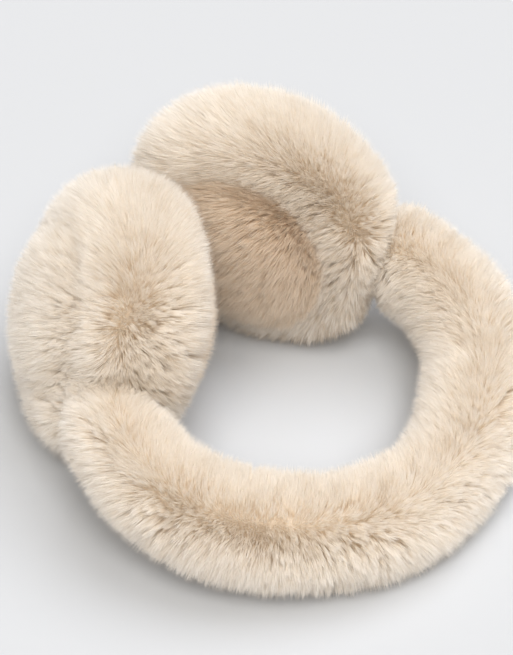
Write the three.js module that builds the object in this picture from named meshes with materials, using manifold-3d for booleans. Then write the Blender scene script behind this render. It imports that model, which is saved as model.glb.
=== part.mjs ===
// Plush fur earmuffs, lying on their side: two round boxed ear pads on a padded fur headband.
// Millimetres, Z up. The hoop lies nearly flat and opens towards +Y, and the left pad is at -X.
import * as THREE from "three";
import { mergeVertices } from "three/addons/utils/BufferGeometryUtils.js";
import { LoftGeometry } from "three/addons/geometries/LoftGeometry.js";
import Module from "manifold-3d";

const wasm = await Module();
wasm.setup();

// Ear pads, measured over the fur
const padDiameter = 116;
const padThickness = 76;
const padRoundness = 2.15; // exponent of the pad's section: 2 is an ellipse, more is boxier
const gussetWidth = 50; // from seam to seam round the rim
const seamDip = 3.5; // depth of the valley at each seam
const seamValley = 5; // half width of that valley

// Headband, measured over the fur
const hoopWidth = 154; // between the sleeve's middles, at the widest
const hoopDepth = 137;
const sleeveThickness = 45; // in the hoop's plane
const sleeveHeight = 49; // across the hoop's plane
const armSweep = 35; // degrees of the hoop past its widest, to where the arms run straight
const armReach = 34; // straight stretch, to the pad's middle
const partingTurn = 52; // degrees from straight out to straight up, where the sleeve's fur parts
const partingDip = 1.6; // depth of the groove along the parting
const partingSpread = 14; // its half width, in degrees round the sleeve
const sleeveSeed = 61; // picks the sleeve's locks, which all differ a little

// Fur, in rows of pointed locks
const pile = 5; // how far the locks' tips stand over the backing
const lockWidth = 11.5;
const rowSpacing = 10.5; // from one row's roots to the next
const lockOverhang = 4; // how far the tips reach over the next row
const lastRowShort = 2.6; // how far the last row's tips end before the valley they point to
const notchDepth = 6.5; // from the tips back to the gaps between them
const lastNotchDepth = 3; // the same in the last row
const notchHeight = 0.32; // share of the pile that those gaps reach
const lockSlant = 2.4; // how far the tips lean to one side
const tallestTip = 1.15; // share of the pile that the longest locks reach
const tipWander = { across: 1.2, sideways: 0.8, lift: 0.2 }; // how much they differ, lift as a share

// Clearances
const seamGap = 0.3; // between the pieces that are sewn together
const pressedIn = 1.2; // how much of the backing the floor flattens
const smallestDetail = 0.1; // finer steps than this are smoothed away

// How each pad sits on its arm, in degrees, and a seed that picks its locks. The near pad leans
// over towards the other one.
const padPoses = [
  { name: "left", side: -1, bend: 1.7, toeIn: 33.6, lean: 13.9, seed: 11 },
  { name: "right", side: 1, bend: -3.4, toeIn: 25.8, lean: -3.0, seed: 29 },
];

// Dents and swells of the pads: degrees round the rim from the free end, degrees from the outer
// face's middle, spread in degrees, and depth as a share of the pad's thickness.
const padDents = [
  { name: "left", around: 214, across: 88, spread: 26, depth: 0.045 },
  { name: "left", around: 150, across: 130, spread: 30, depth: -0.03 },
  { name: "left", around: 250, across: 40, spread: 34, depth: -0.025 },
  { name: "right", around: 118, across: 118, spread: 24, depth: 0.04 },
  { name: "right", around: 60, across: 60, spread: 36, depth: -0.03 },
  { name: "right", around: 250, across: 140, spread: 32, depth: -0.025 },
];

// Dents and swells of the sleeve: place as a share of its length from the left arm, degrees round
// the section, reach along as a share of the length, spread in degrees, and depth as a share of
// the sleeve's thickness.
const sleeveDents = [
  { along: 0.2, turn: 180, reach: 0.05, spread: 50, depth: 0.05 },
  { along: 0.33, turn: 190, reach: 0.05, spread: 60, depth: -0.05 },
  { along: 0.47, turn: 0, reach: 0.06, spread: 60, depth: -0.035 },
  { along: 0.52, turn: 180, reach: 0.05, spread: 60, depth: 0.035 },
  { along: 0.64, turn: 170, reach: 0.05, spread: 60, depth: -0.05 },
  { along: 0.72, turn: 20, reach: 0.06, spread: 60, depth: -0.03 },
  { along: 0.81, turn: 180, reach: 0.04, spread: 60, depth: 0.05 },
];

// How finely the smooth shapes that the others are fitted to are divided
const smoothRings = 28;
const smoothSides = 32;

const padRadius = padDiameter / 2 - pile;
const padHalf = padThickness / 2 - pile;
const sleeveOut = sleeveThickness / 2 - pile;
const sleeveUp = sleeveHeight / 2 - pile;
const seam = gussetWidth / 2;
const radians = THREE.MathUtils.degToRad;

// A fixed sequence of numbers between -1 and 1, the same on each run
function shaker(seed) {
  let state = seed;
  return () => {
    state = (state * 16807) % 2147483647;
    return (state / 2147483647) * 2 - 1;
  };
}

function solidFrom(geometry, closeness = 1e-4) {
  const bare = new THREE.BufferGeometry();
  bare.setAttribute("position", geometry.attributes.position);
  bare.setIndex(geometry.index);
  const merged = mergeVertices(bare, closeness);
  return new wasm.Manifold(
    new wasm.Mesh({
      numProp: 3,
      vertProperties: new Float32Array(merged.attributes.position.array),
      triVerts: new Uint32Array(merged.index.array),
    }),
  );
}

function geometryFrom(solid) {
  const mesh = solid.getMesh();
  const geometry = new THREE.BufferGeometry();
  geometry.setAttribute("position", new THREE.BufferAttribute(mesh.vertProperties, 3));
  geometry.setIndex(new THREE.BufferAttribute(mesh.triVerts, 1));
  const flat = geometry.toNonIndexed();
  flat.computeVertexNormals();
  return flat;
}

const biggest = (solid) => solid.decompose().reduce((a, b) => (b.volume() > a.volume() ? b : a));

// The main body of a solid, without slivers, pinched corners or crumbs that a cut left loose
function tidied(solid) {
  const smooth = biggest(solid).simplify(smallestDetail);
  return biggest(solidFrom(geometryFrom(smooth), 5e-3));
}

// Smooth bump that is 1 at zero and falls to nothing over about twice the spread
const bump = (distance, spread) => Math.exp(-((distance / spread) ** 2));

function degreesApart(a, b) {
  return Math.abs(THREE.MathUtils.euclideanModulo(a - b + 180, 360) - 180);
}

// The pad's section: how far out from its axis and how high over its middle plane, with the
// surface's direction there. across runs from 0 at the outer face's middle to PI at the inner's.
function padSection(across) {
  const power = 2 / padRoundness;
  const out = Math.max(Math.sin(across), 0) ** power;
  const up = Math.sign(Math.cos(across)) * Math.abs(Math.cos(across)) ** power;
  const normal = new THREE.Vector2(
    out ** (padRoundness - 1) / padRadius,
    (Math.sign(up) * Math.abs(up) ** (padRoundness - 1)) / padHalf,
  ).normalize();
  return { out: out * padRadius, up: up * padHalf, normal };
}

function padRelief(name, around, across, up) {
  let relief = -seamDip * bump(Math.abs(up) - seam, seamValley);
  for (const dent of padDents.filter((row) => row.name === name)) {
    const reach = Math.hypot(
      degreesApart(THREE.MathUtils.radToDeg(around), dent.around) * Math.sin(across),
      THREE.MathUtils.radToDeg(across) - dent.across,
    );
    relief -= dent.depth * padThickness * bump(reach, dent.spread);
  }
  return relief;
}

// A point of the pad in its own frame: X towards the free end, Z straight out from the head
function padPoint(name, around, across, lift) {
  const { out, up, normal } = padSection(across);
  const height = lift + padRelief(name, around, across, up);
  const reach = out + normal.x * height;
  return new THREE.Vector3(Math.cos(around) * reach, Math.sin(around) * reach, up + normal.y * height);
}

// Rows of locks across a surface, from the groove that the first row grows out of to the groove
// that the last row ends in. Places are in millimetres along the surface.
function lockRows(start, end) {
  const rows = Math.max(1, Math.round(Math.abs(end - start) / rowSpacing));
  const step = (end - start) / rows;
  const way = Math.sign(step);
  const list = [];
  for (let row = 0; row < rows; row++) {
    const last = row === rows - 1;
    const tips = start + (row + 1) * step + way * (last ? -lastRowShort : lockOverhang);
    const notch = last ? lastNotchDepth : notchDepth;
    list.push({ groove: true, at: start + row * step });
    list.push({ at: tips, notchAt: tips - way * notch, odd: row % 2 });
  }
  list.push({ groove: true, at: end });
  return list;
}

// Where one point of a row lies: how far across, how far sideways, and how high over the backing
function combed(row, column, shake) {
  const wander = [shake(), shake(), shake()];
  if (row.tuft) return { across: row.at, sideways: 0, lift: pile, notch: false };
  if (row.groove) return { across: row.at, sideways: 0, lift: 0, notch: false };
  const notch = column % 2 !== row.odd;
  return {
    across: notch ? row.notchAt : row.at + tipWander.across * wander[0],
    sideways: (notch ? 0.4 * lockSlant : lockSlant) + tipWander.sideways * wander[1],
    lift: pile * (notch ? notchHeight : tallestTip - tipWander.lift * Math.abs(wander[2])),
    notch,
  };
}

// Lofts rings of fur, and folds each face along the diagonal that meets a notch, so that the
// locks' tops and undersides stay clear of each other.
function furFrom(rings) {
  const loft = new LoftGeometry(rings, { capStart: true, capEnd: true });
  const sides = rings[0].length;
  const corners = loft.index.array;
  for (let ring = 0; ring < rings.length - 1; ring++)
    for (let side = 0; side < sides; side++) {
      const opposite = rings[ring + 1][(side + 1) % sides];
      if (!rings[ring][side].notch && !opposite.notch) continue;
      const first = 6 * (ring * sides + side);
      const [a, b, d, , c] = corners.slice(first, first + 5);
      corners.set([a, b, c, a, c, d], first);
    }
  return solidFrom(loft);
}

// Lengths along the pad's section, from the outer face's middle, and back to its angle
const sectionSteps = 360;
const sectionAngle = (step) => (step / sectionSteps) * Math.PI;
const sectionLengths = [0];
for (let step = 1; step <= sectionSteps; step++) {
  const before = padSection(sectionAngle(step - 1));
  const here = padSection(sectionAngle(step));
  sectionLengths.push(sectionLengths[step - 1] + Math.hypot(here.out - before.out, here.up - before.up));
}
const sectionLength = sectionLengths[sectionSteps];

function angleAt(length) {
  const next = Math.max(1, sectionLengths.findIndex((sum) => sum >= length));
  const before = sectionLengths[next - 1];
  return sectionAngle(next - 1 + (length - before) / (sectionLengths[next] - before));
}

const seamLength = sectionLengths.findLast(
  (sum, step) => padSection(sectionAngle(step)).up >= seam,
);

// A pad covered in rows of locks: on the faces they point out to the seams, and round the rim
// they point from its middle to both seams.
function furryPad({ name, seed }) {
  const shake = shaker(seed);
  const tuft = 0.2 * rowSpacing; // a small tuft stands up in the middle of each face
  const face = 2 * tuft;
  const rim = sectionLength / 2;
  const rows = [
    { tuft: true, at: tuft },
    ...lockRows(face, seamLength).slice(0, -1),
    ...lockRows(rim, seamLength).reverse().slice(0, -1),
    ...lockRows(rim, sectionLength - seamLength).slice(0, -1),
    ...lockRows(sectionLength - face, sectionLength - seamLength).reverse(),
    { tuft: true, at: sectionLength - tuft },
  ];
  const columns = 2 * Math.round((2 * Math.PI * padRadius) / lockWidth);
  const rings = rows.map((row) => {
    const ring = [];
    for (let column = 0; column < columns; column++) {
      const { across, sideways, lift, notch } = combed(row, column, shake);
      const angle = angleAt(across);
      const { out } = padSection(angle);
      const turn = (column / columns) * 2 * Math.PI + sideways / padRadius;
      const point = padPoint(name, turn, angle, lift * Math.min(1, (2 * out) / padRadius));
      ring.push(Object.assign(point, { notch }));
    }
    return ring;
  });
  return furFrom(rings.reverse());
}

// The same pad without its locks, swollen by lift
function smoothPad({ name }, lift) {
  const rings = [];
  for (let ring = 0; ring < smoothRings; ring++) {
    const angle = angleAt(sectionLength * (1 - (ring + 0.5) / smoothRings));
    const points = [];
    for (let side = 0; side < smoothSides; side++)
      points.push(padPoint(name, (side / smoothSides) * 2 * Math.PI, angle, lift));
    rings.push(points);
  }
  return solidFrom(new LoftGeometry(rings, { capStart: true, capEnd: true }));
}

// The hoop's middle line, from the left pad's middle round the crown to the right pad's
const armEnd = new THREE.Vector2(
  (hoopWidth / 2) * Math.cos(radians(armSweep)),
  (hoopDepth / 2) * Math.sin(radians(armSweep)),
);
const armSlant = Math.atan2(
  (hoopWidth / 2) * Math.sin(radians(armSweep)),
  (hoopDepth / 2) * Math.cos(radians(armSweep)),
);

function padMiddle({ side, bend }) {
  const slant = armSlant + radians(bend);
  return new THREE.Vector2(
    side * (armEnd.x - armReach * Math.sin(slant)),
    armEnd.y + armReach * Math.cos(slant),
  );
}

const hoop = new THREE.CurvePath();
hoop.add(new THREE.LineCurve(padMiddle(padPoses[0]), new THREE.Vector2(-armEnd.x, armEnd.y)));
hoop.add(
  new THREE.EllipseCurve(
    0,
    0,
    hoopWidth / 2,
    hoopDepth / 2,
    Math.PI - radians(armSweep),
    2 * Math.PI + radians(armSweep),
  ),
);
hoop.add(new THREE.LineCurve(armEnd.clone(), padMiddle(padPoses[1])));
const hoopLength = hoop.getLength();

function sleeveRelief(along, turn) {
  let relief = -partingDip * bump(degreesApart(turn, partingTurn), partingSpread);
  for (const dent of sleeveDents)
    relief -=
      dent.depth *
      sleeveThickness *
      bump(along - dent.along, dent.reach) *
      bump(degreesApart(turn, dent.turn), dent.spread);
  return relief;
}

// A point of the sleeve in the hoop's frame. turn is in radians round the section, 0 straight
// out and a quarter turn straight up.
function sleevePoint(along, turn, lift) {
  const share = THREE.MathUtils.clamp(along, 0, 1);
  const middle = hoop.getPointAt(share);
  const tangent = hoop.getTangentAt(share);
  const outward = new THREE.Vector2(tangent.y, -tangent.x);
  const normal = new THREE.Vector2(
    Math.cos(turn) / sleeveOut,
    Math.sin(turn) / sleeveUp,
  ).normalize();
  const height = lift + sleeveRelief(along, THREE.MathUtils.radToDeg(turn));
  const out = Math.cos(turn) * sleeveOut + normal.x * height;
  const up = Math.sin(turn) * sleeveUp + normal.y * height;
  return new THREE.Vector3(middle.x + outward.x * out, middle.y + outward.y * out, up);
}

// The sleeve covered in rows of locks: they point away from the parting, down over the outside
// and over the top into the hoop, and meet underneath.
function furrySleeve() {
  const shake = shaker(sleeveSeed);
  const girth = Math.PI * (sleeveOut + sleeveUp);
  const rows = [
    ...lockRows(0, girth / 2).slice(0, -1),
    ...lockRows(girth, girth / 2).reverse().slice(0, -1),
  ];
  const steps = 2 * Math.round(hoopLength / lockWidth);
  const rings = [];
  for (let step = 0; step <= steps; step++)
    rings.push(
      rows.map((row) => {
        const { across, sideways, lift, notch } = combed(row, step, shake);
        const turn = radians(partingTurn) + (across / girth) * 2 * Math.PI;
        const point = sleevePoint(step / steps + sideways / hoopLength, turn, lift);
        return Object.assign(point, { notch });
      }).reverse(),
    );
  return furFrom(rings);
}

// The same sleeve without its locks, swollen by lift
function smoothSleeve(lift) {
  const rings = [];
  for (let ring = 0; ring <= 2 * smoothRings; ring++) {
    const points = [];
    for (let side = 0; side < smoothSides; side++)
      points.push(sleevePoint(ring / (2 * smoothRings), (-side / smoothSides) * 2 * Math.PI, lift));
    rings.push(points);
  }
  return solidFrom(new LoftGeometry(rings, { capStart: true, capEnd: true }));
}

// The frame of one pad in the hoop's frame
function padMatrix(pose) {
  const toe = radians(pose.toeIn);
  const lean = radians(pose.lean);
  const outward = new THREE.Vector3(
    pose.side * Math.cos(toe) * Math.cos(lean),
    Math.sin(toe) * Math.cos(lean),
    Math.sin(lean),
  );
  const toEnd = new THREE.Vector3(-pose.side * Math.sin(toe), Math.cos(toe), 0);
  const third = new THREE.Vector3().crossVectors(outward, toEnd);
  const middle = padMiddle(pose);
  return new THREE.Matrix4()
    .makeBasis(toEnd, third, outward)
    .setPosition(middle.x, middle.y, 0);
}

const moved = (solid, matrix) => solid.transform(matrix.elements);

// Keeps the part of a solid that lies on the side of a plane that its normal points to
function trimmed(solid, plane, matrix) {
  const local = plane.clone().applyMatrix4(matrix.clone().invert());
  return solid.trimByPlane(local.normal.toArray(), -local.constant);
}

function lowestAlong(solid, direction) {
  const { vertProperties } = solid.getMesh();
  let lowest = Infinity;
  for (let i = 0; i < vertProperties.length; i += 3)
    lowest = Math.min(lowest, direction.dot(new THREE.Vector3().fromArray(vertProperties, i)));
  return lowest;
}

const pads = padPoses.map((pose) => ({ ...pose, matrix: padMatrix(pose) }));
const smoothPads = pads.map((pad) => moved(smoothPad(pad, 0), pad.matrix));
const bareSleeve = smoothSleeve(0);

// The earmuffs tip forward until the crown rests on the floor with both pads' rims.
const armSpan = padMiddle(padPoses[0]).y + hoopDepth / 2;
const skyAt = (pitch) => new THREE.Vector3(0, Math.sin(pitch), Math.cos(pitch));
const padsLow = (sky) => Math.max(...smoothPads.map((solid) => lowestAlong(solid, sky)));
let restPitch = 0;
for (let round = 0; round < 6; round++) {
  const sky = skyAt(restPitch);
  restPitch += (lowestAlong(bareSleeve, sky) - padsLow(sky)) / armSpan;
}
const skyward = skyAt(restPitch);
const floor = new THREE.Plane(skyward, -padsLow(skyward) - pressedIn);

// Where the two pads' inner faces press against each other, near their free ends
const rightmost = -lowestAlong(smoothPads[0], new THREE.Vector3(-1, 0, 0));
const leftmost = lowestAlong(smoothPads[1], new THREE.Vector3(1, 0, 0));
const meetingPlace = (rightmost + leftmost) / 2;

const fur = (name, tint, solid) => {
  const material = new THREE.MeshStandardMaterial({ color: tint, roughness: 0.95, metalness: 0 });
  const mesh = new THREE.Mesh(geometryFrom(solid), material);
  mesh.name = name;
  return mesh;
};

const hoopGroup = new THREE.Group();
hoopGroup.rotation.x = restPitch;

// The sleeve ends where the pads' fur begins.
let sleeve = furrySleeve();
for (const pad of pads)
  sleeve = sleeve.subtract(moved(smoothPad(pad, tallestTip * pile + seamGap), pad.matrix));
hoopGroup.add(fur("headband_fur", "#dccbb6", tidied(trimmed(sleeve, floor, new THREE.Matrix4()))));

for (const pad of pads) {
  const inward = new THREE.Vector3(pad.side, 0, 0);
  const press = new THREE.Plane(inward, -pad.side * meetingPlace - seamGap / 2);
  const whole = trimmed(trimmed(furryPad(pad), floor, pad.matrix), press, pad.matrix);
  const above = (height) => whole.trimByPlane([0, 0, 1], height);
  const below = (solid, height) => solid.trimByPlane([0, 0, -1], -height);
  const panels = [
    { name: "outer_panel", tint: "#e6d9c8", solid: above(seam + seamGap / 2) },
    {
      name: "gusset",
      tint: "#e2d3c0",
      solid: below(above(-seam + seamGap / 2), seam - seamGap / 2),
    },
    { name: "inner_panel", tint: "#cdb79f", solid: below(whole, -seam - seamGap / 2) },
  ];
  const group = new THREE.Group();
  group.applyMatrix4(pad.matrix);
  for (const panel of panels)
    group.add(fur(pad.name + "_" + panel.name, panel.tint, tidied(panel.solid)));
  hoopGroup.add(group);
}

// The floor is at Z = 0, and the origin is under the middle of the whole.
const earmuffs = new THREE.Group();
earmuffs.add(hoopGroup);
const extent = new THREE.Box3().setFromObject(earmuffs, true);
const middle = extent.getCenter(new THREE.Vector3());
hoopGroup.position.set(-middle.x, -middle.y, -extent.min.z);

export default earmuffs;
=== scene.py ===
# Plush fur earmuffs lying on their side: padded backings, each with its own deep fur of thin blades.
import math

import bpy
import numpy as np
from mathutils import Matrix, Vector, kdtree


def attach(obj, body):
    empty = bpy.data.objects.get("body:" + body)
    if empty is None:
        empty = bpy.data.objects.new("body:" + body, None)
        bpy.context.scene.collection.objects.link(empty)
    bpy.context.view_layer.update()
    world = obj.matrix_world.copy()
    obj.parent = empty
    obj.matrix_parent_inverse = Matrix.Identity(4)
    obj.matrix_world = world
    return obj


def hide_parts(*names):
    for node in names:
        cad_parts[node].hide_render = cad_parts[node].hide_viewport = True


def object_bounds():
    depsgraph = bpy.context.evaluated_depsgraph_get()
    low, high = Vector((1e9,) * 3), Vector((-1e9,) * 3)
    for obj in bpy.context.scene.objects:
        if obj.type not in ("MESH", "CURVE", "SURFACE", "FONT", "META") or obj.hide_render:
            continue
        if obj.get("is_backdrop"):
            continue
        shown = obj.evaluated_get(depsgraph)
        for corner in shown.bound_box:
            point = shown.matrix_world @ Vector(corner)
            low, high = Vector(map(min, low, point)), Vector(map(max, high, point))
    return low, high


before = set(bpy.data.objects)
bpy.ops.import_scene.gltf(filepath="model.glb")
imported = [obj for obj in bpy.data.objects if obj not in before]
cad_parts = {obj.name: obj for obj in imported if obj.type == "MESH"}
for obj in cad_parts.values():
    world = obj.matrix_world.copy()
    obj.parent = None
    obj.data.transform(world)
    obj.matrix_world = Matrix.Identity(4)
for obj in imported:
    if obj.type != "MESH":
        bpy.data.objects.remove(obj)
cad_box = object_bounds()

# Ear pads, in metres over the fur, as in the part's own source
PAD_DIAMETER = 0.116
PAD_THICKNESS = 0.076
PAD_ROUNDNESS = 2.15  # exponent of the pad's section: 2 is an ellipse, more is boxier
GUSSET_WIDTH = 0.050
SEAM_DIP = 0.0035
SEAM_VALLEY = 0.005
PILE = 0.005  # how far the fur's tips stand over the backing

# Headband
HOOP_WIDTH = 0.154
HOOP_DEPTH = 0.137
SLEEVE_THICKNESS = 0.045
SLEEVE_HEIGHT = 0.049
ARM_SWEEP = math.radians(35)
ARM_REACH = 0.034
PARTING_TURN = 52  # degrees round the sleeve from straight out, where its fur parts
PARTING_DIP = 0.0005  # shallower than in the part's source, as the lean of the fur makes the rest
PARTING_SPREAD = 14
PRESSED_IN = 0.0012  # how much of the backing the floor flattens

HOOP_POINTS = 400  # points on the curve of the hoop's middle line
SECTION_POINTS = 2000  # points at which a pad's section is measured
REST_ROUNDS = 6  # rounds that settle how the whole rests on the floor

# How each pad sits on its arm, in degrees
PAD_POSES = {
    "left": {"side": -1, "bend": 1.7, "toe_in": 33.6, "lean": 13.9},
    "right": {"side": 1, "bend": -3.4, "toe_in": 25.8, "lean": -3.0},
}

# Dents and swells, as in the part's own source: places in degrees or shares, depths as shares
PAD_DENTS = [
    {"name": "left", "around": 214, "across": 88, "spread": 26, "depth": 0.045},
    {"name": "left", "around": 150, "across": 130, "spread": 30, "depth": -0.03},
    {"name": "left", "around": 250, "across": 40, "spread": 34, "depth": -0.025},
    {"name": "right", "around": 118, "across": 118, "spread": 24, "depth": 0.04},
    {"name": "right", "around": 60, "across": 60, "spread": 36, "depth": -0.03},
    {"name": "right", "around": 250, "across": 140, "spread": 32, "depth": -0.025},
]
SLEEVE_DENTS = [
    {"along": 0.2, "turn": 180, "reach": 0.05, "spread": 50, "depth": 0.05},
    {"along": 0.33, "turn": 190, "reach": 0.05, "spread": 60, "depth": -0.05},
    {"along": 0.47, "turn": 0, "reach": 0.06, "spread": 60, "depth": -0.035},
    {"along": 0.52, "turn": 180, "reach": 0.05, "spread": 60, "depth": 0.035},
    {"along": 0.64, "turn": 170, "reach": 0.05, "spread": 60, "depth": -0.05},
    {"along": 0.72, "turn": 20, "reach": 0.06, "spread": 60, "depth": -0.03},
    {"along": 0.81, "turn": 180, "reach": 0.04, "spread": 60, "depth": 0.05},
]

# How many degrees each pad's pile leans: on the rim away from its middle and towards the free end,
# and on the faces away from the middle, towards the free end and down. seams is how ruffled it is
# along the seams, as a share.
PAD_COMBS = {
    "left": {"rim_out": 12, "rim_end": 4, "face_out": 12, "face_end": 4, "face_down": 0, "seams": 0.6},
    "right": {"rim_out": 2, "rim_end": 34, "face_out": 0, "face_end": 26, "face_down": 24, "seams": 0.15},
}

# Places that the fur fans out from: where, by how many degrees more, how far that reaches, and
# how much longer the fur is there, as a share
PAD_BURSTS = [
    {"name": "left", "around": 225, "across": 58, "lean": 14, "reach": 0.022, "longer": 0},
    {"name": "right", "around": 150, "across": 108, "lean": 8, "reach": 0.015, "longer": 0},
    {"name": "right", "around": 22, "across": 100, "lean": 2, "reach": 0.018, "longer": 0.3},
]

# Fur, in metres
STRANDS_PER_M2 = 12.6e6
STRAND_LENGTH = 0.0118
STRAND_WIDTH = 0.00019
WIDTH_SPREAD = 0.25  # how far a strand's width strays from that, as a share
SHOULDER = 0.55  # share of a strand's length at which it is widest
ASKEW = [0.31, 0.52, 0.80]  # a slanting direction that the flat side of each strand is turned from
BACKING_DEPTH = 0.0055  # how far the soft backing lies inside the part's own smooth form
BACKING_STEP = 2  # the backing takes every second point of its grid
ROOT_SINK = 0.0006  # how far the roots go into the backing
HIDDEN = 0.004  # depth inside a neighbour or the floor from which no fur grows
FLOOR_GAP = 0.0003
FLOOR_SCATTER = 0.0008  # how far over that gap the tips that meet the floor end, at random
FLOOR_SPLAY = 0.7  # how far such a tip turns outward, as a share of how far it is lifted

# Which way it leans, in degrees, and over what distances that changes
SLEEVE_LEAN = 10  # away from the parting
PARTING_BLEND = 30  # degrees beside the parting over which the pile turns
SEAM_LEAN = 7  # more right beside a seam, away from it
SEAM_TURN = 0.0015  # metres beside a seam over which that lean sets in
RIM_TURN = 0.010  # metres beside the middle of the rim over which its pile turns outward
FACE_BLEND = 0.0012  # metres beside a seam over which the rim's comb turns into the face's
BURST_CALM = 0.006  # metres from a burst's middle over which the fur starts to fan out
STRAND_UNREST = 5.0  # of each strand, at random
TUFT_UNREST = 7  # of each tuft, at random
TUFT_WILDNESS = 12  # more of each tuft, where the pile is most ruffled

# How the parting wanders along the headband: how far round it, and how fast
PARTING_WAVES = [
    {"degrees": 9, "pace": 23},
    {"degrees": 6, "pace": 51},
]

# How long it is, as shares of its length
GUARD_SPREAD = 0.38  # how much longer the few longest strands are than the shortest
GUARD_RARITY = 2.5  # exponent: the higher, the fewer of them are long
SHORTENED = 0.16  # how much shorter all are, which makes up for the long ones
CREASE_CUT = 0.45  # how much is missing where two pieces meet
CREASE_WIDTH = 0.005  # metres beside such a crease over which it grows back
SEAM_CUT = 0.12  # how much is missing at a seam
SEAM_WIDTH = 0.0032  # metres beside a seam over which it grows back

# How ruffled it is, as shares
TOUSLED = 0.55  # in patches all over
CREASE_RUFFLE = 0.8  # where two pieces meet
CREASE_REACH = 0.010  # metres beside such a crease that are ruffled
SEAM_REACH = 0.005  # metres beside a seam that are ruffled
BURST_SPREAD = 1.7  # how many times as far as its lean a burst ruffles the fur
RIDGE_TURN = PARTING_TURN - 16  # degrees round the sleeve where its fur is most ruffled
RIDGE_SPREAD = 58  # degrees to either side of that
RUFFLE_LEVEL = 0.95  # of all this, before the ripples add to it or take from it

# Its tone, from 0, dark, to 1
TONE_MIDDLE = 0.5
TONE_RANGE = 0.02, 0.97  # lowest and highest
TONE_UNREST = 0.16  # of each strand, at random
TONE_STEP = 0.02  # how much lighter a strand is at its shoulder
PAINTED_SHADE_DEPTH = 0.45  # painted shade: how much darker, as a tone, it makes the gusset's fur where it is strongest
PAINTED_SHADE_SEAM = 0.6  # how far the painted shade has set in at the gusset's seam with the inner panel
PAINTED_SHADE_REACH = 0.013  # metres from that seam over which the painted shade fades

# The fine tufts and the broad ones that the strands gather into: how strongly they are pulled
# together where the pile is calm and where it is ruffled, and how far each tuft's tone strays
TUFTS = [
    {"spacing": 0.0021, "calm_pull": 0.20, "wild_pull": 0.37, "tint": 0.08, "seed": 210},
    {"spacing": 0.0065, "calm_pull": 0.06, "wild_pull": 0.18, "tint": 0.05, "seed": 650},
]
TUFT_GRIP = 0.5, 1.3  # how much less or more than that each tuft pulls

# Smooth noise over the fur: its strength, in degrees or as a share, and the size of its patches
RIPPLES = {
    "parting": {"strength": 13, "size": 0.011, "seed": 19},
    "sweep": {"strength": 0.35, "size": 0.030, "seed": 5},
    "swirl_first": {"strength": 3, "size": 0.014, "seed": 7},
    "swirl_second": {"strength": 3, "size": 0.014, "seed": 11},
    "length": {"strength": 0.03, "size": 0.010, "seed": 13},
    "ruffle": {"strength": 0.4, "size": 0.012, "seed": 17},
    "tousled": {"strength": 1, "size": 0.010, "seed": 23},
}
WAVES = 18  # waves that each noise is the sum of

# Seeds of the random draws, the same each run
PAD_SEED = 100
SLEEVE_SEED = 200
BLADE_SEED = 400  # added for the blades that are built on the strands

# Looks
# The darkest tints serve both the strands whose tone strays low at random and the painted shade, which
# lowers the tone.
TONE_TINTS = [
    (0.0, (0.79, 0.71, 0.61)),
    (0.2, (0.92, 0.892, 0.85)),
    (0.5, (0.987, 0.98, 0.97)),
    (1.0, (1.0, 1.0, 1.0)),
]
FUR_ROUGHNESS = 0.85
FUR_SPECULAR = 0.15
FUR_THROUGH = 0.5  # share of the light that goes through a strand
BACKING_TINTS = [(0.0, (0.80, 0.73, 0.63)), (1.0, (0.71, 0.64, 0.54))]
BACKING_LOOPS = 900  # loops of its knit in a metre
BACKING_ROUGHNESS = 0.95

PAD_RADIUS = PAD_DIAMETER / 2 - PILE
PAD_HALF = PAD_THICKNESS / 2 - PILE
SLEEVE_OUT = SLEEVE_THICKNESS / 2 - PILE
SLEEVE_UP = SLEEVE_HEIGHT / 2 - PILE
SEAM = GUSSET_WIDTH / 2


def bump(distance, spread):
    """1 at zero, falling to nothing over about twice the spread."""
    return np.exp(-((distance / spread) ** 2))


def degrees_apart(a, b):
    return np.abs((a - b + 180) % 360 - 180)


def unit(vectors):
    return vectors / np.maximum(np.linalg.norm(vectors, axis=-1, keepdims=True), 1e-12)


def dot(a, b):
    return (a * b).sum(-1, keepdims=True)


def pad_section(across):
    """The pad's section: distances out from its axis and up its axis, and the surface's direction."""
    power = 2 / PAD_ROUNDNESS
    out = np.maximum(np.sin(across), 0) ** power
    up = np.sign(np.cos(across)) * np.abs(np.cos(across)) ** power
    normal_out = out ** (PAD_ROUNDNESS - 1) / PAD_RADIUS
    normal_up = np.sign(up) * np.abs(up) ** (PAD_ROUNDNESS - 1) / PAD_HALF
    size = np.hypot(normal_out, normal_up)
    return out * PAD_RADIUS, up * PAD_HALF, normal_out / size, normal_up / size


def pad_middle(name):
    pose = PAD_POSES[name]
    half_width, half_depth = HOOP_WIDTH / 2, HOOP_DEPTH / 2
    across, along = half_width * math.cos(ARM_SWEEP), half_depth * math.sin(ARM_SWEEP)
    slant = math.atan2(half_width * math.sin(ARM_SWEEP), half_depth * math.cos(ARM_SWEEP))
    slant += math.radians(pose["bend"])
    x = pose["side"] * (across - ARM_REACH * math.sin(slant))
    return np.array([x, along + ARM_REACH * math.cos(slant), 0.0])


def pad_axes(name):
    """The pad's axes in the hoop's frame, as rows: towards its free end, the third, and outward."""
    pose = PAD_POSES[name]
    toe, lean = math.radians(pose["toe_in"]), math.radians(pose["lean"])
    level = np.array([pose["side"] * math.cos(toe), math.sin(toe), 0.0])
    outward = level * math.cos(lean) + [0, 0, math.sin(lean)]
    to_end = np.array([-pose["side"] * math.sin(toe), math.cos(toe), 0.0])
    return np.array([to_end, np.cross(outward, to_end), outward])


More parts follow.
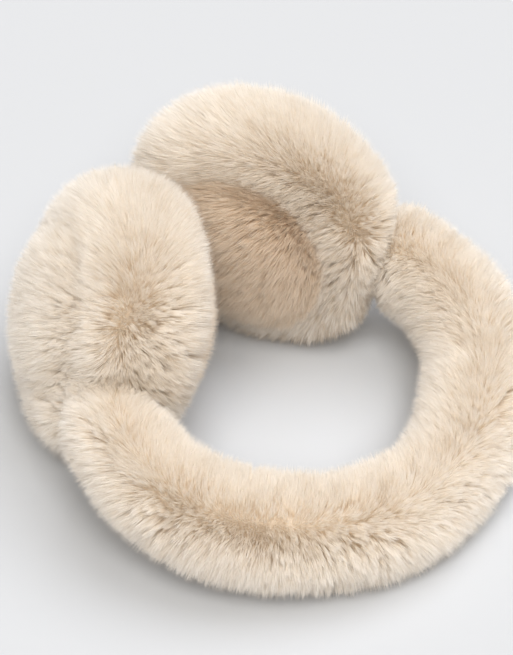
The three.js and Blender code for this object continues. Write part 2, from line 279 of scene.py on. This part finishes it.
def pad_points(name, around, across):
    """Points of a pad's backing, in the hoop's frame. Both places are in radians."""
    out, up, normal_out, normal_up = pad_section(across)
    relief = -SEAM_DIP * bump(np.abs(up) - SEAM, SEAM_VALLEY)
    for dent in PAD_DENTS:
        if dent["name"] == name:
            sideways = degrees_apart(np.degrees(around), dent["around"]) * np.sin(across)
            away = np.hypot(sideways, np.degrees(across) - dent["across"])
            relief = relief - dent["depth"] * PAD_THICKNESS * bump(away, dent["spread"])
    reach = out + normal_out * relief
    local = np.stack([np.cos(around) * reach, np.sin(around) * reach, up + normal_up * relief], -1)
    return local @ pad_axes(name) + pad_middle(name)


def hoop_line():
    """Points along the hoop's middle line, and the share of its length at each."""
    half = np.array([HOOP_WIDTH / 2, HOOP_DEPTH / 2])
    turns = np.linspace(math.pi - ARM_SWEEP, 2 * math.pi + ARM_SWEEP, HOOP_POINTS)
    curve = half * np.stack([np.cos(turns), np.sin(turns)], -1)
    line = np.vstack([pad_middle("left")[:2], curve, pad_middle("right")[:2]])
    lengths = np.concatenate([[0], np.cumsum(np.hypot(*np.diff(line, axis=0).T))])
    return line, lengths / lengths[-1]


HOOP_LINE, HOOP_SHARES = hoop_line()


def hoop_at(along):
    return np.stack([np.interp(along, HOOP_SHARES, HOOP_LINE[:, k]) for k in (0, 1)], -1)


def sleeve_points(along, turn):
    """Points of the sleeve's backing, in the hoop's frame. turn is in radians, 0 straight out."""
    step = 0.004  # share of the hoop's length to either side, which gives its direction
    tangent = unit(hoop_at(along + step) - hoop_at(along - step))
    outward = np.stack([tangent[..., 1], -tangent[..., 0]], -1)
    turned = np.degrees(turn)
    relief = -PARTING_DIP * bump(degrees_apart(turned, PARTING_TURN), PARTING_SPREAD)
    for dent in SLEEVE_DENTS:
        place = bump(along - dent["along"], dent["reach"])
        place = place * bump(degrees_apart(turned, dent["turn"]), dent["spread"])
        relief = relief - dent["depth"] * SLEEVE_THICKNESS * place
    normal = unit(np.stack([np.cos(turn) / SLEEVE_OUT, np.sin(turn) / SLEEVE_UP], -1))
    out = np.cos(turn) * SLEEVE_OUT + normal[..., 0] * relief
    up = np.sin(turn) * SLEEVE_UP + normal[..., 1] * relief
    level = hoop_at(along) + outward * out[..., None]
    return np.concatenate([level, up[..., None]], -1)


def sleeve_clearance(points):
    """About how far points in the hoop's frame lie outside the sleeve's backing."""
    tree = kdtree.KDTree(len(HOOP_LINE))
    for k, (x, y) in enumerate(HOOP_LINE):
        tree.insert((x, y, 0), k)
    tree.balance()
    away = np.array([tree.find((x, y, 0))[2] for x, y in points[:, :2]])
    swollen = np.hypot(away / SLEEVE_OUT, points[:, 2] / SLEEVE_UP)
    return np.hypot(away, points[:, 2]) * (1 - 1 / swollen)


def pad_clearance(points, name):
    """About how far points in the hoop's frame lie outside a pad's backing."""
    local = (points - pad_middle(name)) @ pad_axes(name).T
    out = np.hypot(local[:, 0], local[:, 1]) / PAD_RADIUS
    up = np.abs(local[:, 2]) / PAD_HALF
    swollen = (out**PAD_ROUNDNESS + up**PAD_ROUNDNESS) ** (1 / PAD_ROUNDNESS)
    return np.linalg.norm(local, axis=-1) * (1 - 1 / swollen)


def pad_grid(name):
    sides, rings = 160, 96
    around = np.linspace(0, 2 * math.pi, sides + 1)
    fine = np.linspace(0, math.pi, SECTION_POINTS)
    out, up, _, _ = pad_section(fine)
    lengths = np.concatenate([[0], np.cumsum(np.hypot(np.diff(out), np.diff(up)))])
    across = np.interp(np.linspace(0, lengths[-1], rings + 1), lengths, fine)
    return np.meshgrid(around, across, indexing="ij")


def sleeve_grid():
    steps, sides = 240, 112
    along = np.linspace(0, 1, steps + 1)
    turn = np.linspace(0, 2 * math.pi, sides + 1)
    return np.meshgrid(along, turn, indexing="ij")


def grid_normals(points, wrapped, outward_of):
    """Normals of a grid that closes on itself along the axis wrapped."""
    if wrapped == 0:
        padded = np.concatenate([points[-2:-1], points, points[1:2]], 0)
    else:
        padded = np.concatenate([points[:, -2:-1], points, points[:, 1:2]], 1)
    normals = np.cross(np.gradient(padded, axis=0), np.gradient(padded, axis=1))
    normals = normals[1:-1] if wrapped == 0 else normals[:, 1:-1]
    if wrapped == 0:
        normals[:, 0] = normals[:, 1].mean(0)
        normals[:, -1] = normals[:, -2].mean(0)
    normals = unit(normals)
    side = np.sign(dot(normals, points - outward_of).mean())
    return normals * side


# The pads and the crown rest on the floor together, which settles how far the hoop tips.
grids = {name: pad_grid(name) for name in PAD_POSES}
grids["sleeve"] = sleeve_grid()
in_hoop = {name: pad_points(name, *grids[name]) for name in PAD_POSES}
in_hoop["sleeve"] = sleeve_points(*grids["sleeve"])


def rest_pitch():
    pitch, span = 0.0, pad_middle("left")[1] + HOOP_DEPTH / 2
    for _ in range(REST_ROUNDS):
        sky = np.array([0, math.sin(pitch), math.cos(pitch)])
        low = {name: (points @ sky).min() for name, points in in_hoop.items()}
        pitch += (low["sleeve"] - max(low["left"], low["right"])) / span
    return pitch, max(low["left"], low["right"])


PITCH, LOWEST = rest_pitch()
TIP = np.array([[1, 0, 0],
                [0, math.cos(PITCH), -math.sin(PITCH)],
                [0, math.sin(PITCH), math.cos(PITCH)]])
tipped = np.vstack([points.reshape(-1, 3) @ TIP.T for points in in_hoop.values()])
middle = (tipped.min(0) + tipped.max(0)) / 2
HOOP_PLACE = np.array([-middle[0], -middle[1], -LOWEST - PRESSED_IN])


def placed(points):
    """Points in the hoop's frame, moved to the part's own frame."""
    return points @ TIP.T + HOOP_PLACE


class Form:
    """A backing as a grid of points in the part's frame, with what is needed to grow fur on it."""

    def __init__(self, name):
        self.name = name
        self.is_pad = name in PAD_POSES
        self.first, self.second = grids[name]
        hoop_points = in_hoop[name]
        if self.is_pad:
            centre, wrapped = pad_middle(name), 0
        else:
            centre, wrapped = np.concatenate([hoop_at(self.first), 0 * self.first[..., None]], -1), 1
        normals = grid_normals(hoop_points, wrapped, centre)
        self.points = placed(hoop_points - BACKING_DEPTH * normals)
        self.points[..., 2] = np.maximum(self.points[..., 2], FLOOR_GAP)
        self.normals = normals @ TIP.T
        self.along_first = unit(np.gradient(hoop_points, axis=0)) @ TIP.T
        self.along_second = unit(np.gradient(hoop_points, axis=1)) @ TIP.T
        flat = hoop_points.reshape(-1, 3)
        others = [pad_clearance(flat, pad) for pad in PAD_POSES if pad != name]
        if self.is_pad:
            others.append(sleeve_clearance(flat))
        self.clear = np.min(others, axis=0).reshape(self.first.shape)
        self.seen = (self.clear > -HIDDEN) & (placed(hoop_points)[..., 2] > -HIDDEN)

    def corners(self, values):
        return values[:-1, :-1], values[1:, :-1], values[1:, 1:], values[:-1, 1:]

    def roots(self, rows, density, rng):
        """Evenly spread roots over the grid's cells that rows marks, with what lies there."""
        a, b, c, d = self.corners(self.points)
        areas = np.linalg.norm(np.cross(c - a, d - b), axis=-1) / 2 * rows
        total = np.cumsum(areas.ravel())
        count = int(total[-1] * density)
        spots = (np.arange(count) + rng.random(count)) / count * total[-1]
        cells = np.minimum(np.searchsorted(total, spots), len(total) - 1)
        s, t = rng.random((2, count, 1))

        def between(values):
            a, b, c, d = (v.reshape(-1, v.shape[-1])[cells] for v in self.corners(values))
            return (a * (1 - s) + b * s) * (1 - t) + (d * (1 - s) + c * s) * t

        place = between(np.stack([self.first, self.second, self.clear], -1))
        return {
            "root": between(self.points),
            "normal": unit(between(self.normals)),
            "first": place[:, 0],
            "second": place[:, 1],
            "clear": place[:, 2],
            "along_first": unit(between(self.along_first)),
            "along_second": unit(between(self.along_second)),
        }


def ripples(points, name):
    """Smooth noise at each point, by one row of RIPPLES."""
    row = RIPPLES[name]
    rng = np.random.default_rng(row["seed"])
    waves = rng.normal(size=(3, WAVES)) / row["size"]
    noise = np.sin(points @ waves + rng.uniform(0, 2 * math.pi, WAVES)).sum(-1)
    return row["strength"] * (noise / math.sqrt(WAVES / 2))


def sliding(vectors, normals):
    """The part of each vector that lies along the surface."""
    return vectors - normals * dot(vectors, normals)


def tangent(vectors, normals):
    return unit(sliding(vectors, normals))


def bursts_of(form, root):
    """Each burst of a pad, with how far each root lies from its middle as a vector."""
    for burst in PAD_BURSTS:
        if burst["name"] == form.name:
            place = np.radians([burst["around"]]), np.radians([burst["across"]])
            yield burst, root - placed(pad_points(form.name, *place))


def combing(form, spot):
    """The pile's lean at each root: a vector along the surface whose length is in degrees."""
    normal, root = spot["normal"], spot["root"]
    if form.is_pad:
        comb = PAD_COMBS[form.name]
        to_end, third, axis = pad_axes(form.name) @ TIP.T
        from_middle = root - placed(pad_middle(form.name))
        height = dot(from_middle, axis)
        outward = unit(from_middle - axis * height)
        down = third * -np.sign(third[2])
        rim = comb["rim_out"] * np.tanh(height / RIM_TURN) * axis + comb["rim_end"] * to_end
        face = comb["face_out"] * outward + comb["face_end"] * to_end + comb["face_down"] * down
        beyond = seam_distance(form, root)[:, None]
        lean = sliding(rim + (face - rim) / (1 + np.exp(-beyond / FACE_BLEND)), normal)
        across = tangent(axis * np.sign(height), normal)
        lean = lean + SEAM_LEAN * bump(beyond, SEAM_WIDTH) * np.tanh(beyond / SEAM_TURN) * across
        for burst, away in bursts_of(form, root):
            far = np.linalg.norm(away, axis=-1, keepdims=True)
            near = bump(far, burst["reach"]) * np.tanh(far / BURST_CALM)
            lean = lean + burst["lean"] * near * tangent(away, normal)
        return lean
    wander = sum(wave["degrees"] * np.sin(spot["first"] * wave["pace"]) for wave in PARTING_WAVES)
    wander = wander + ripples(root, "parting")
    turned = (np.degrees(spot["second"]) - PARTING_TURN - wander + 180) % 360 - 180
    side = np.tanh(turned / PARTING_BLEND)[:, None]
    sweep = ripples(root, "sweep")[:, None]
    return SLEEVE_LEAN * (side * spot["along_second"] + sweep * spot["along_first"])


def ruffled(form, spot):
    """How disturbed the pile is at each root, 0 to 1: most at the bursts, the seams and the parting."""
    root = spot["root"]
    if form.is_pad:
        share = PAD_COMBS[form.name]["seams"] * bump(seam_distance(form, root), SEAM_REACH)
        for burst, away in bursts_of(form, root):
            far = np.linalg.norm(away, axis=-1)
            near = bump(far, BURST_SPREAD * burst["reach"])
            share = np.maximum(share, near * (burst["longer"] == 0))
    else:
        share = bump(degrees_apart(np.degrees(spot["second"]), RIDGE_TURN), RIDGE_SPREAD)
    share = np.maximum(share, CREASE_RUFFLE * bump(np.maximum(spot["clear"], 0), CREASE_REACH))
    share = np.maximum(share, TOUSLED * np.clip(ripples(root, "tousled"), 0, 1))
    return np.clip(share * (RUFFLE_LEVEL + ripples(root, "ruffle")), 0, 1)


def seam_distance(form, root):
    """How far each root of a pad lies from the nearer seam, less than 0 on the gusset."""
    axis = pad_axes(form.name)[2] @ TIP.T
    return np.abs((root - placed(pad_middle(form.name))) @ axis) - SEAM * (1 - BACKING_DEPTH / PAD_HALF)


def painted_shade(form, spot):
    """How much painted shade darkens a pad's cream fur at each root, 0 to 1.

    It is painted beside the seam with the inner panel, so the gusset blends into that panel's darker fur,
    and where the gusset's inner half faces down, for the shade that falls there.
    """
    if not form.is_pad:
        return 0
    height = (spot["root"] - placed(pad_middle(form.name))) @ (pad_axes(form.name)[2] @ TIP.T)
    inner = PAINTED_SHADE_SEAM * bump(np.maximum(height + SEAM, 0), PAINTED_SHADE_REACH)
    below = np.clip(-spot["normal"][:, 2], 0, 1) * (height < 0)
    return np.maximum(inner, below)


def grown(form, spot, unrest, rng):
    """The tip of each strand, before they gather into tufts. unrest is the random lean in degrees."""
    count = len(spot["root"])
    normal, root = spot["normal"], spot["root"]
    lean = combing(form, spot)
    swirl = np.stack([ripples(root, "swirl_first"), ripples(root, "swirl_second")], -1)
    swirl = swirl + unrest * rng.normal(size=(count, 2))
    first, second = spot["along_first"], np.cross(normal, spot["along_first"])
    lean = np.radians(lean + first * swirl[:, :1] + second * swirl[:, 1:])
    guard = GUARD_SPREAD * rng.random(count) ** GUARD_RARITY
    length = STRAND_LENGTH * (1 + ripples(root, "length") + guard - SHORTENED)
    length *= 1 - CREASE_CUT * bump(np.maximum(spot["clear"], 0), CREASE_WIDTH)
    if form.is_pad:
        length *= 1 - SEAM_CUT * bump(seam_distance(form, root), SEAM_WIDTH)
        for burst, away in bursts_of(form, root):
            length *= 1 + burst["longer"] * bump(np.linalg.norm(away, axis=-1), burst["reach"])
    return root + length[:, None] * unit(normal + lean)


def gathered(points, centres):
    """Each strand's nearest clump centre, by number."""
    tree = kdtree.KDTree(len(centres))
    for k, centre in enumerate(centres):
        tree.insert(centre, k)
    tree.balance()
    return np.array([tree.find(point)[1] for point in points])


def fur_of(form, rows, seed, tufted, tuft_seed, on_inner_panel=False):
    """Root, tip, direction of the surface and tone of every strand on the cells that rows marks.

    The tufts are spread over the cells that tufted marks, so pieces side by side can share them.
    """
    rng = np.random.default_rng(seed)
    density = STRANDS_PER_M2 * 1
    spot = form.roots(rows, density, rng)
    tip = grown(form, spot, STRAND_UNREST, rng)
    root, normal = spot["root"], spot["normal"]
    unrest = ruffled(form, spot)
    tone = np.zeros(len(root))
    for row in TUFTS:
        own = np.random.default_rng(tuft_seed + row["seed"])
        few = form.roots(tufted, 1 / row["spacing"] ** 2, own)
        few_unrest = TUFT_UNREST + TUFT_WILDNESS * ruffled(form, few)
        few_tip = grown(form, few, few_unrest[:, None], own)
        nearest = gathered(root, few["root"])
        grip = own.uniform(*TUFT_GRIP, len(few_tip))[nearest]
        pull = grip * (row["calm_pull"] + (row["wild_pull"] - row["calm_pull"]) * unrest)
        tip = tip + pull[:, None] * (few_tip[nearest] - tip)
        tone += row["tint"] * own.normal(size=len(few_tip))[nearest]
    # painted shade: the tone of the gusset's fur is lowered where its inner half faces down and beside
    # the inner panel; the inner panels get none, as their whole fur carries painted shade.
    tone += TONE_UNREST * rng.normal(size=len(root)) - PAINTED_SHADE_DEPTH * painted_shade(form, spot) * (not on_inner_panel)
    root = root - normal * ROOT_SINK
    low = np.maximum(FLOOR_GAP + FLOOR_SCATTER * rng.random(len(tip)) - tip[:, 2], 0)
    tip[:, 2] += low
    tip += unit(normal * [1, 1, 0]) * low[:, None] * FLOOR_SPLAY
    return root, tip, normal, np.clip(TONE_MIDDLE + tone, *TONE_RANGE)


def blades(name, strands, seed):
    """One mesh of fine pointed blades, a triangle each, widest at their shoulder."""
    rng = np.random.default_rng(seed + BLADE_SEED)
    root, tip, normal, tone = strands
    count = len(root)
    course = unit(tip - root)
    spin = rng.uniform(0, math.pi, count)[:, None]
    flat = unit(np.cross(course, [ASKEW]))
    side = flat * np.cos(spin) + np.cross(course, flat) * np.sin(spin)
    width = STRAND_WIDTH * rng.uniform(1 - WIDTH_SPREAD, 1 + WIDTH_SPREAD, count)[:, None]
    shoulder = root + (tip - root) * SHOULDER + side * width
    verts = np.stack([root, shoulder, tip], 1).reshape(-1, 3)
    faces = np.arange(count * 3).reshape(-1, 3)
    wrong = (np.cross(shoulder - root, tip - root) * normal).sum(-1) < 0
    faces[wrong] = faces[wrong][:, ::-1]
    mesh = bpy.data.meshes.new(name)
    mesh.vertices.add(len(verts))
    mesh.vertices.foreach_set("co", verts.astype(np.float32).ravel())
    mesh.loops.add(faces.size)
    mesh.loops.foreach_set("vertex_index", faces.astype(np.int32).ravel())
    mesh.polygons.add(count)
    mesh.polygons.foreach_set("loop_start", np.arange(0, faces.size, 3, dtype=np.int32))
    mesh.update(calc_edges=True)
    across = np.stack([tone, tone + TONE_STEP, tone], 1)
    up = np.tile([0.0, SHOULDER, 1.0], (count, 1))
    uv = np.stack([across, up], -1).reshape(-1, 2)[faces.ravel()]
    mesh.uv_layers.new(name="OFBake").data.foreach_set("uv", uv.astype(np.float32).ravel())
    mesh.shade_flat()
    piece = bpy.data.objects.new(name, mesh)
    bpy.context.scene.collection.objects.link(piece)
    return piece


def new_material(name):
    material = bpy.data.materials.new(name)
    material.use_nodes = True
    nodes, links = material.node_tree.nodes, material.node_tree.links
    nodes.clear()
    return material, nodes, links


def ramp(nodes, stops):
    node = nodes.new("ShaderNodeValToRGB")
    band = node.color_ramp
    while len(band.elements) < len(stops):
        band.elements.new(0.5)
    for element, (place, colour) in zip(band.elements, stops):
        element.position = place
        element.color = (*colour, 1)
    return node


def fur_material(name, root, middle, tip):
    """Fur that changes colour along each strand and is tinted by its tone, half of it see-through."""
    material, nodes, links = new_material(name)
    place = nodes.new("ShaderNodeUVMap")
    place.uv_map = "OFBake"
    split = nodes.new("ShaderNodeSeparateXYZ")
    links.new(place.outputs["UV"], split.inputs[0])
    along = ramp(nodes, [(0.0, root), (0.5, middle), (1.0, tip)])
    links.new(split.outputs["Y"], along.inputs["Fac"])
    tone = ramp(nodes, TONE_TINTS)
    links.new(split.outputs["X"], tone.inputs["Fac"])
    mix = nodes.new("ShaderNodeMix")
    mix.data_type = "RGBA"
    mix.blend_type = "MULTIPLY"
    mix.inputs["Factor"].default_value = 1
    links.new(along.outputs["Color"], mix.inputs["A"])
    links.new(tone.outputs["Color"], mix.inputs["B"])
    front = nodes.new("ShaderNodeBsdfPrincipled")
    front.inputs["Roughness"].default_value = FUR_ROUGHNESS
    front.inputs["Specular IOR Level"].default_value = FUR_SPECULAR
    behind = nodes.new("ShaderNodeBsdfTranslucent")
    both = nodes.new("ShaderNodeMixShader")
    both.inputs["Fac"].default_value = FUR_THROUGH
    out = nodes.new("ShaderNodeOutputMaterial")
    links.new(mix.outputs["Result"], front.inputs["Base Color"])
    links.new(mix.outputs["Result"], behind.inputs["Color"])
    links.new(front.outputs[0], both.inputs[1])
    links.new(behind.outputs[0], both.inputs[2])
    links.new(both.outputs[0], out.inputs["Surface"])
    return material


def skin_material():
    """The knitted backing under the fur: its own fine rows of loops, browner than the tips."""
    material, nodes, links = new_material("backing")
    place = nodes.new("ShaderNodeTexCoord")
    loops = nodes.new("ShaderNodeTexVoronoi")
    loops.inputs["Scale"].default_value = BACKING_LOOPS
    links.new(place.outputs["Object"], loops.inputs["Vector"])
    tint = ramp(nodes, BACKING_TINTS)
    links.new(loops.outputs["Distance"], tint.inputs["Fac"])
    cloth = nodes.new("ShaderNodeBsdfPrincipled")
    cloth.inputs["Roughness"].default_value = BACKING_ROUGHNESS
    out = nodes.new("ShaderNodeOutputMaterial")
    links.new(tint.outputs["Color"], cloth.inputs["Base Color"])
    links.new(cloth.outputs[0], out.inputs["Surface"])
    return material


def skin(name, points, wrapped):
    """A closed padded piece from a band of the grid, with its two open ends covered."""
    points = points[:-1] if wrapped == 0 else points[:, :-1].transpose(1, 0, 2)
    points = points[::BACKING_STEP]
    points = np.concatenate([points[:, :-1:BACKING_STEP], points[:, -1:]], 1)
    sides, rings = points.shape[:2]
    numbers = np.arange(sides * rings).reshape(sides, rings)
    nexts = np.roll(numbers, -1, 0)
    corners = [numbers[:, :-1], nexts[:, :-1], nexts[:, 1:], numbers[:, 1:]]
    faces = np.stack(corners, -1).reshape(-1, 4).tolist()
    verts = points.reshape(-1, 3).tolist()
    for ring, turned in ((0, True), (rings - 1, False)):
        loop = numbers[:, ring]
        middle = len(verts)
        verts.append(points[:, ring].mean(0).tolist())
        for k in range(sides):
            pair = (loop[k], loop[(k + 1) % sides])
            faces.append([middle, *(pair[::-1] if turned else pair)])
    mesh = bpy.data.meshes.new(name)
    mesh.from_pydata(verts, [], faces)
    mesh.validate()
    piece = bpy.data.objects.new(name, mesh)
    bpy.context.scene.collection.objects.link(piece)
    bpy.context.view_layer.objects.active = piece
    bpy.ops.object.select_all(action="DESELECT")
    piece.select_set(True)
    bpy.ops.object.mode_set(mode="EDIT")
    bpy.ops.mesh.select_all(action="SELECT")
    bpy.ops.mesh.remove_doubles(threshold=1e-6)
    bpy.ops.mesh.normals_make_consistent(inside=False)
    bpy.ops.object.mode_set(mode="OBJECT")
    mesh.shade_smooth()
    return piece


def finished(piece, node, material):
    piece.data.materials.append(material)
    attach(piece, "root")
    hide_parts(node)


CREAM = fur_material(
    "cream_fur", root=(0.95, 0.865, 0.745), middle=(0.994, 0.967, 0.926), tip=(0.997, 0.976, 0.946)
)
# The inner panels' fur is darker and browner: partly its own colour, partly painted shade for the shade
# that the inner faces lie in.
BEIGE_AND_SHADE = fur_material(
    "beige_and_shade_fur", root=(0.80, 0.67, 0.50), middle=(0.92, 0.838, 0.728), tip=(0.955, 0.89, 0.806)
)
BACKING = skin_material()


def cells(mask):
    """The grid's cells with two opposite corners on the mask, as 1 or 0."""
    return (mask[:-1, :-1] & mask[1:, 1:]).astype(float)


forms = {name: Form(name) for name in grids}

for number, name in enumerate(PAD_POSES):
    form = forms[name]
    section_up = pad_section(form.second)[1]
    first_seam = int(np.argmin(section_up[0] > SEAM))
    last_seam = int(np.argmax(section_up[0] < -SEAM))
    panels = {
        "outer_panel": slice(0, first_seam + 1),
        "gusset": slice(first_seam, last_seam + 1),
        "inner_panel": slice(last_seam, form.first.shape[1]),
    }
    for k, (panel, rings) in enumerate(panels.items()):
        node = f"{name}_{panel}"
        slot = "inner_fur" if panel == "inner_panel" else "pad_fur"
        body = skin(node + "_backing", form.points[:, rings], 0)
        finished(body, node, BACKING)
        picked = np.zeros_like(form.seen)
        picked[:, rings] = True
        rows = cells(form.seen) * cells(picked)
        seed = PAD_SEED + 10 * number + k
        fur = fur_of(form, rows, seed, rows, seed, slot == "inner_fur")
        piece = blades(node + "_fur", fur, seed)
        finished(piece, node, BEIGE_AND_SHADE if panel == "inner_panel" else CREAM)

form = forms["sleeve"]
shown = np.flatnonzero((form.clear > 0).any(1))
body = skin("headband_backing", form.points[shown[0] - 1 : shown[-1] + 2], 1)
finished(body, "headband_fur", BACKING)
halves = {"left": form.first < 0.5, "right": form.first >= 0.5}
for k, (side, half) in enumerate(halves.items()):
    rows = cells(form.seen) * half[:-1, :-1]
    seed = SLEEVE_SEED + k
    fur = fur_of(form, rows, seed, cells(form.seen), SLEEVE_SEED)
    piece = blades(f"headband_{side}_fur", fur, seed)
    finished(piece, "headband_fur", CREAM)

# The camera, at the photograph's angle
CAMERA_AZIMUTH = math.radians(41.6)
CAMERA_ELEVATION = math.radians(43.4)
CAMERA_DISTANCE = 1.274
CAMERA_LENS = 178
CAMERA_SENSOR = 36
CAMERA_AIM = Vector((0.0038, 0.0134, 0.040))

camera = bpy.data.objects.new("camera", bpy.data.cameras.new("camera"))
bpy.context.scene.collection.objects.link(camera)
level = math.cos(CAMERA_ELEVATION)
back = Vector((
    -math.sin(CAMERA_AZIMUTH) * level,
    -math.cos(CAMERA_AZIMUTH) * level,
    math.sin(CAMERA_ELEVATION),
))
camera.location = CAMERA_AIM + back * CAMERA_DISTANCE
camera.rotation_mode = "QUATERNION"
camera.rotation_quaternion = back.to_track_quat("Z", "Y")
camera.data.lens = CAMERA_LENS
camera.data.sensor_width = CAMERA_SENSOR
bpy.context.scene.camera = camera


def soft_sun(name, direction, power, spread, colour):
    """A broad, even light from far off, like a large lamp behind a sheet."""
    lamp = bpy.data.lights.new(name, "SUN")
    lamp.energy = power
    lamp.angle = math.radians(spread)
    lamp.color = colour
    light = bpy.data.objects.new(name, lamp)
    bpy.context.scene.collection.objects.link(light)
    light.rotation_mode = "QUATERNION"
    light.rotation_quaternion = Vector(direction).to_track_quat("Z", "Y")


soft_sun("key", direction=(0.38, -0.092, 0.92), power=2.02, spread=50, colour=(0.985, 1.0, 1.03))
soft_sun("front", direction=(-0.355, -0.40, 0.845), power=2.97, spread=40, colour=(1.0, 0.978, 0.943))

# The room's light and the floor
ROOM_COLOUR = (1.0, 0.88, 0.75)
ROOM_STRENGTH = 0.21
FLOOR_REACH = 6.0
FLOOR_COLOUR = (0.512, 0.528, 0.552)
FLOOR_ROUGHNESS = 0.7

world = bpy.data.worlds.new("room")
world.use_nodes = True
background = world.node_tree.nodes["Background"]
background.inputs["Color"].default_value = (*ROOM_COLOUR, 1)
background.inputs["Strength"].default_value = ROOM_STRENGTH
bpy.context.scene.world = world

floor_mesh = bpy.data.meshes.new("floor")
signs = ((-1, -1), (1, -1), (1, 1), (-1, 1))
floor_mesh.from_pydata([(x * FLOOR_REACH, y * FLOOR_REACH, 0) for x, y in signs], [], [(0, 1, 2, 3)])
floor = bpy.data.objects.new("floor", floor_mesh)
bpy.context.scene.collection.objects.link(floor)
pale, nodes, links = new_material("pale_floor")
surface = nodes.new("ShaderNodeBsdfPrincipled")
surface.inputs["Base Color"].default_value = (*FLOOR_COLOUR, 1)
surface.inputs["Roughness"].default_value = FLOOR_ROUGHNESS
out = nodes.new("ShaderNodeOutputMaterial")
links.new(surface.outputs[0], out.inputs["Surface"])
floor_mesh.materials.append(pale)
floor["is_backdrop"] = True

scene = bpy.context.scene
scene.view_settings.view_transform = "Standard"
scene.cycles.max_bounces = 14
scene.cycles.diffuse_bounces = 13
scene.cycles.transmission_bounces = 13

boxes = {"cad": cad_box, "visual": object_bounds()}
{key: [list(corner) for corner in box] for key, box in boxes.items()}
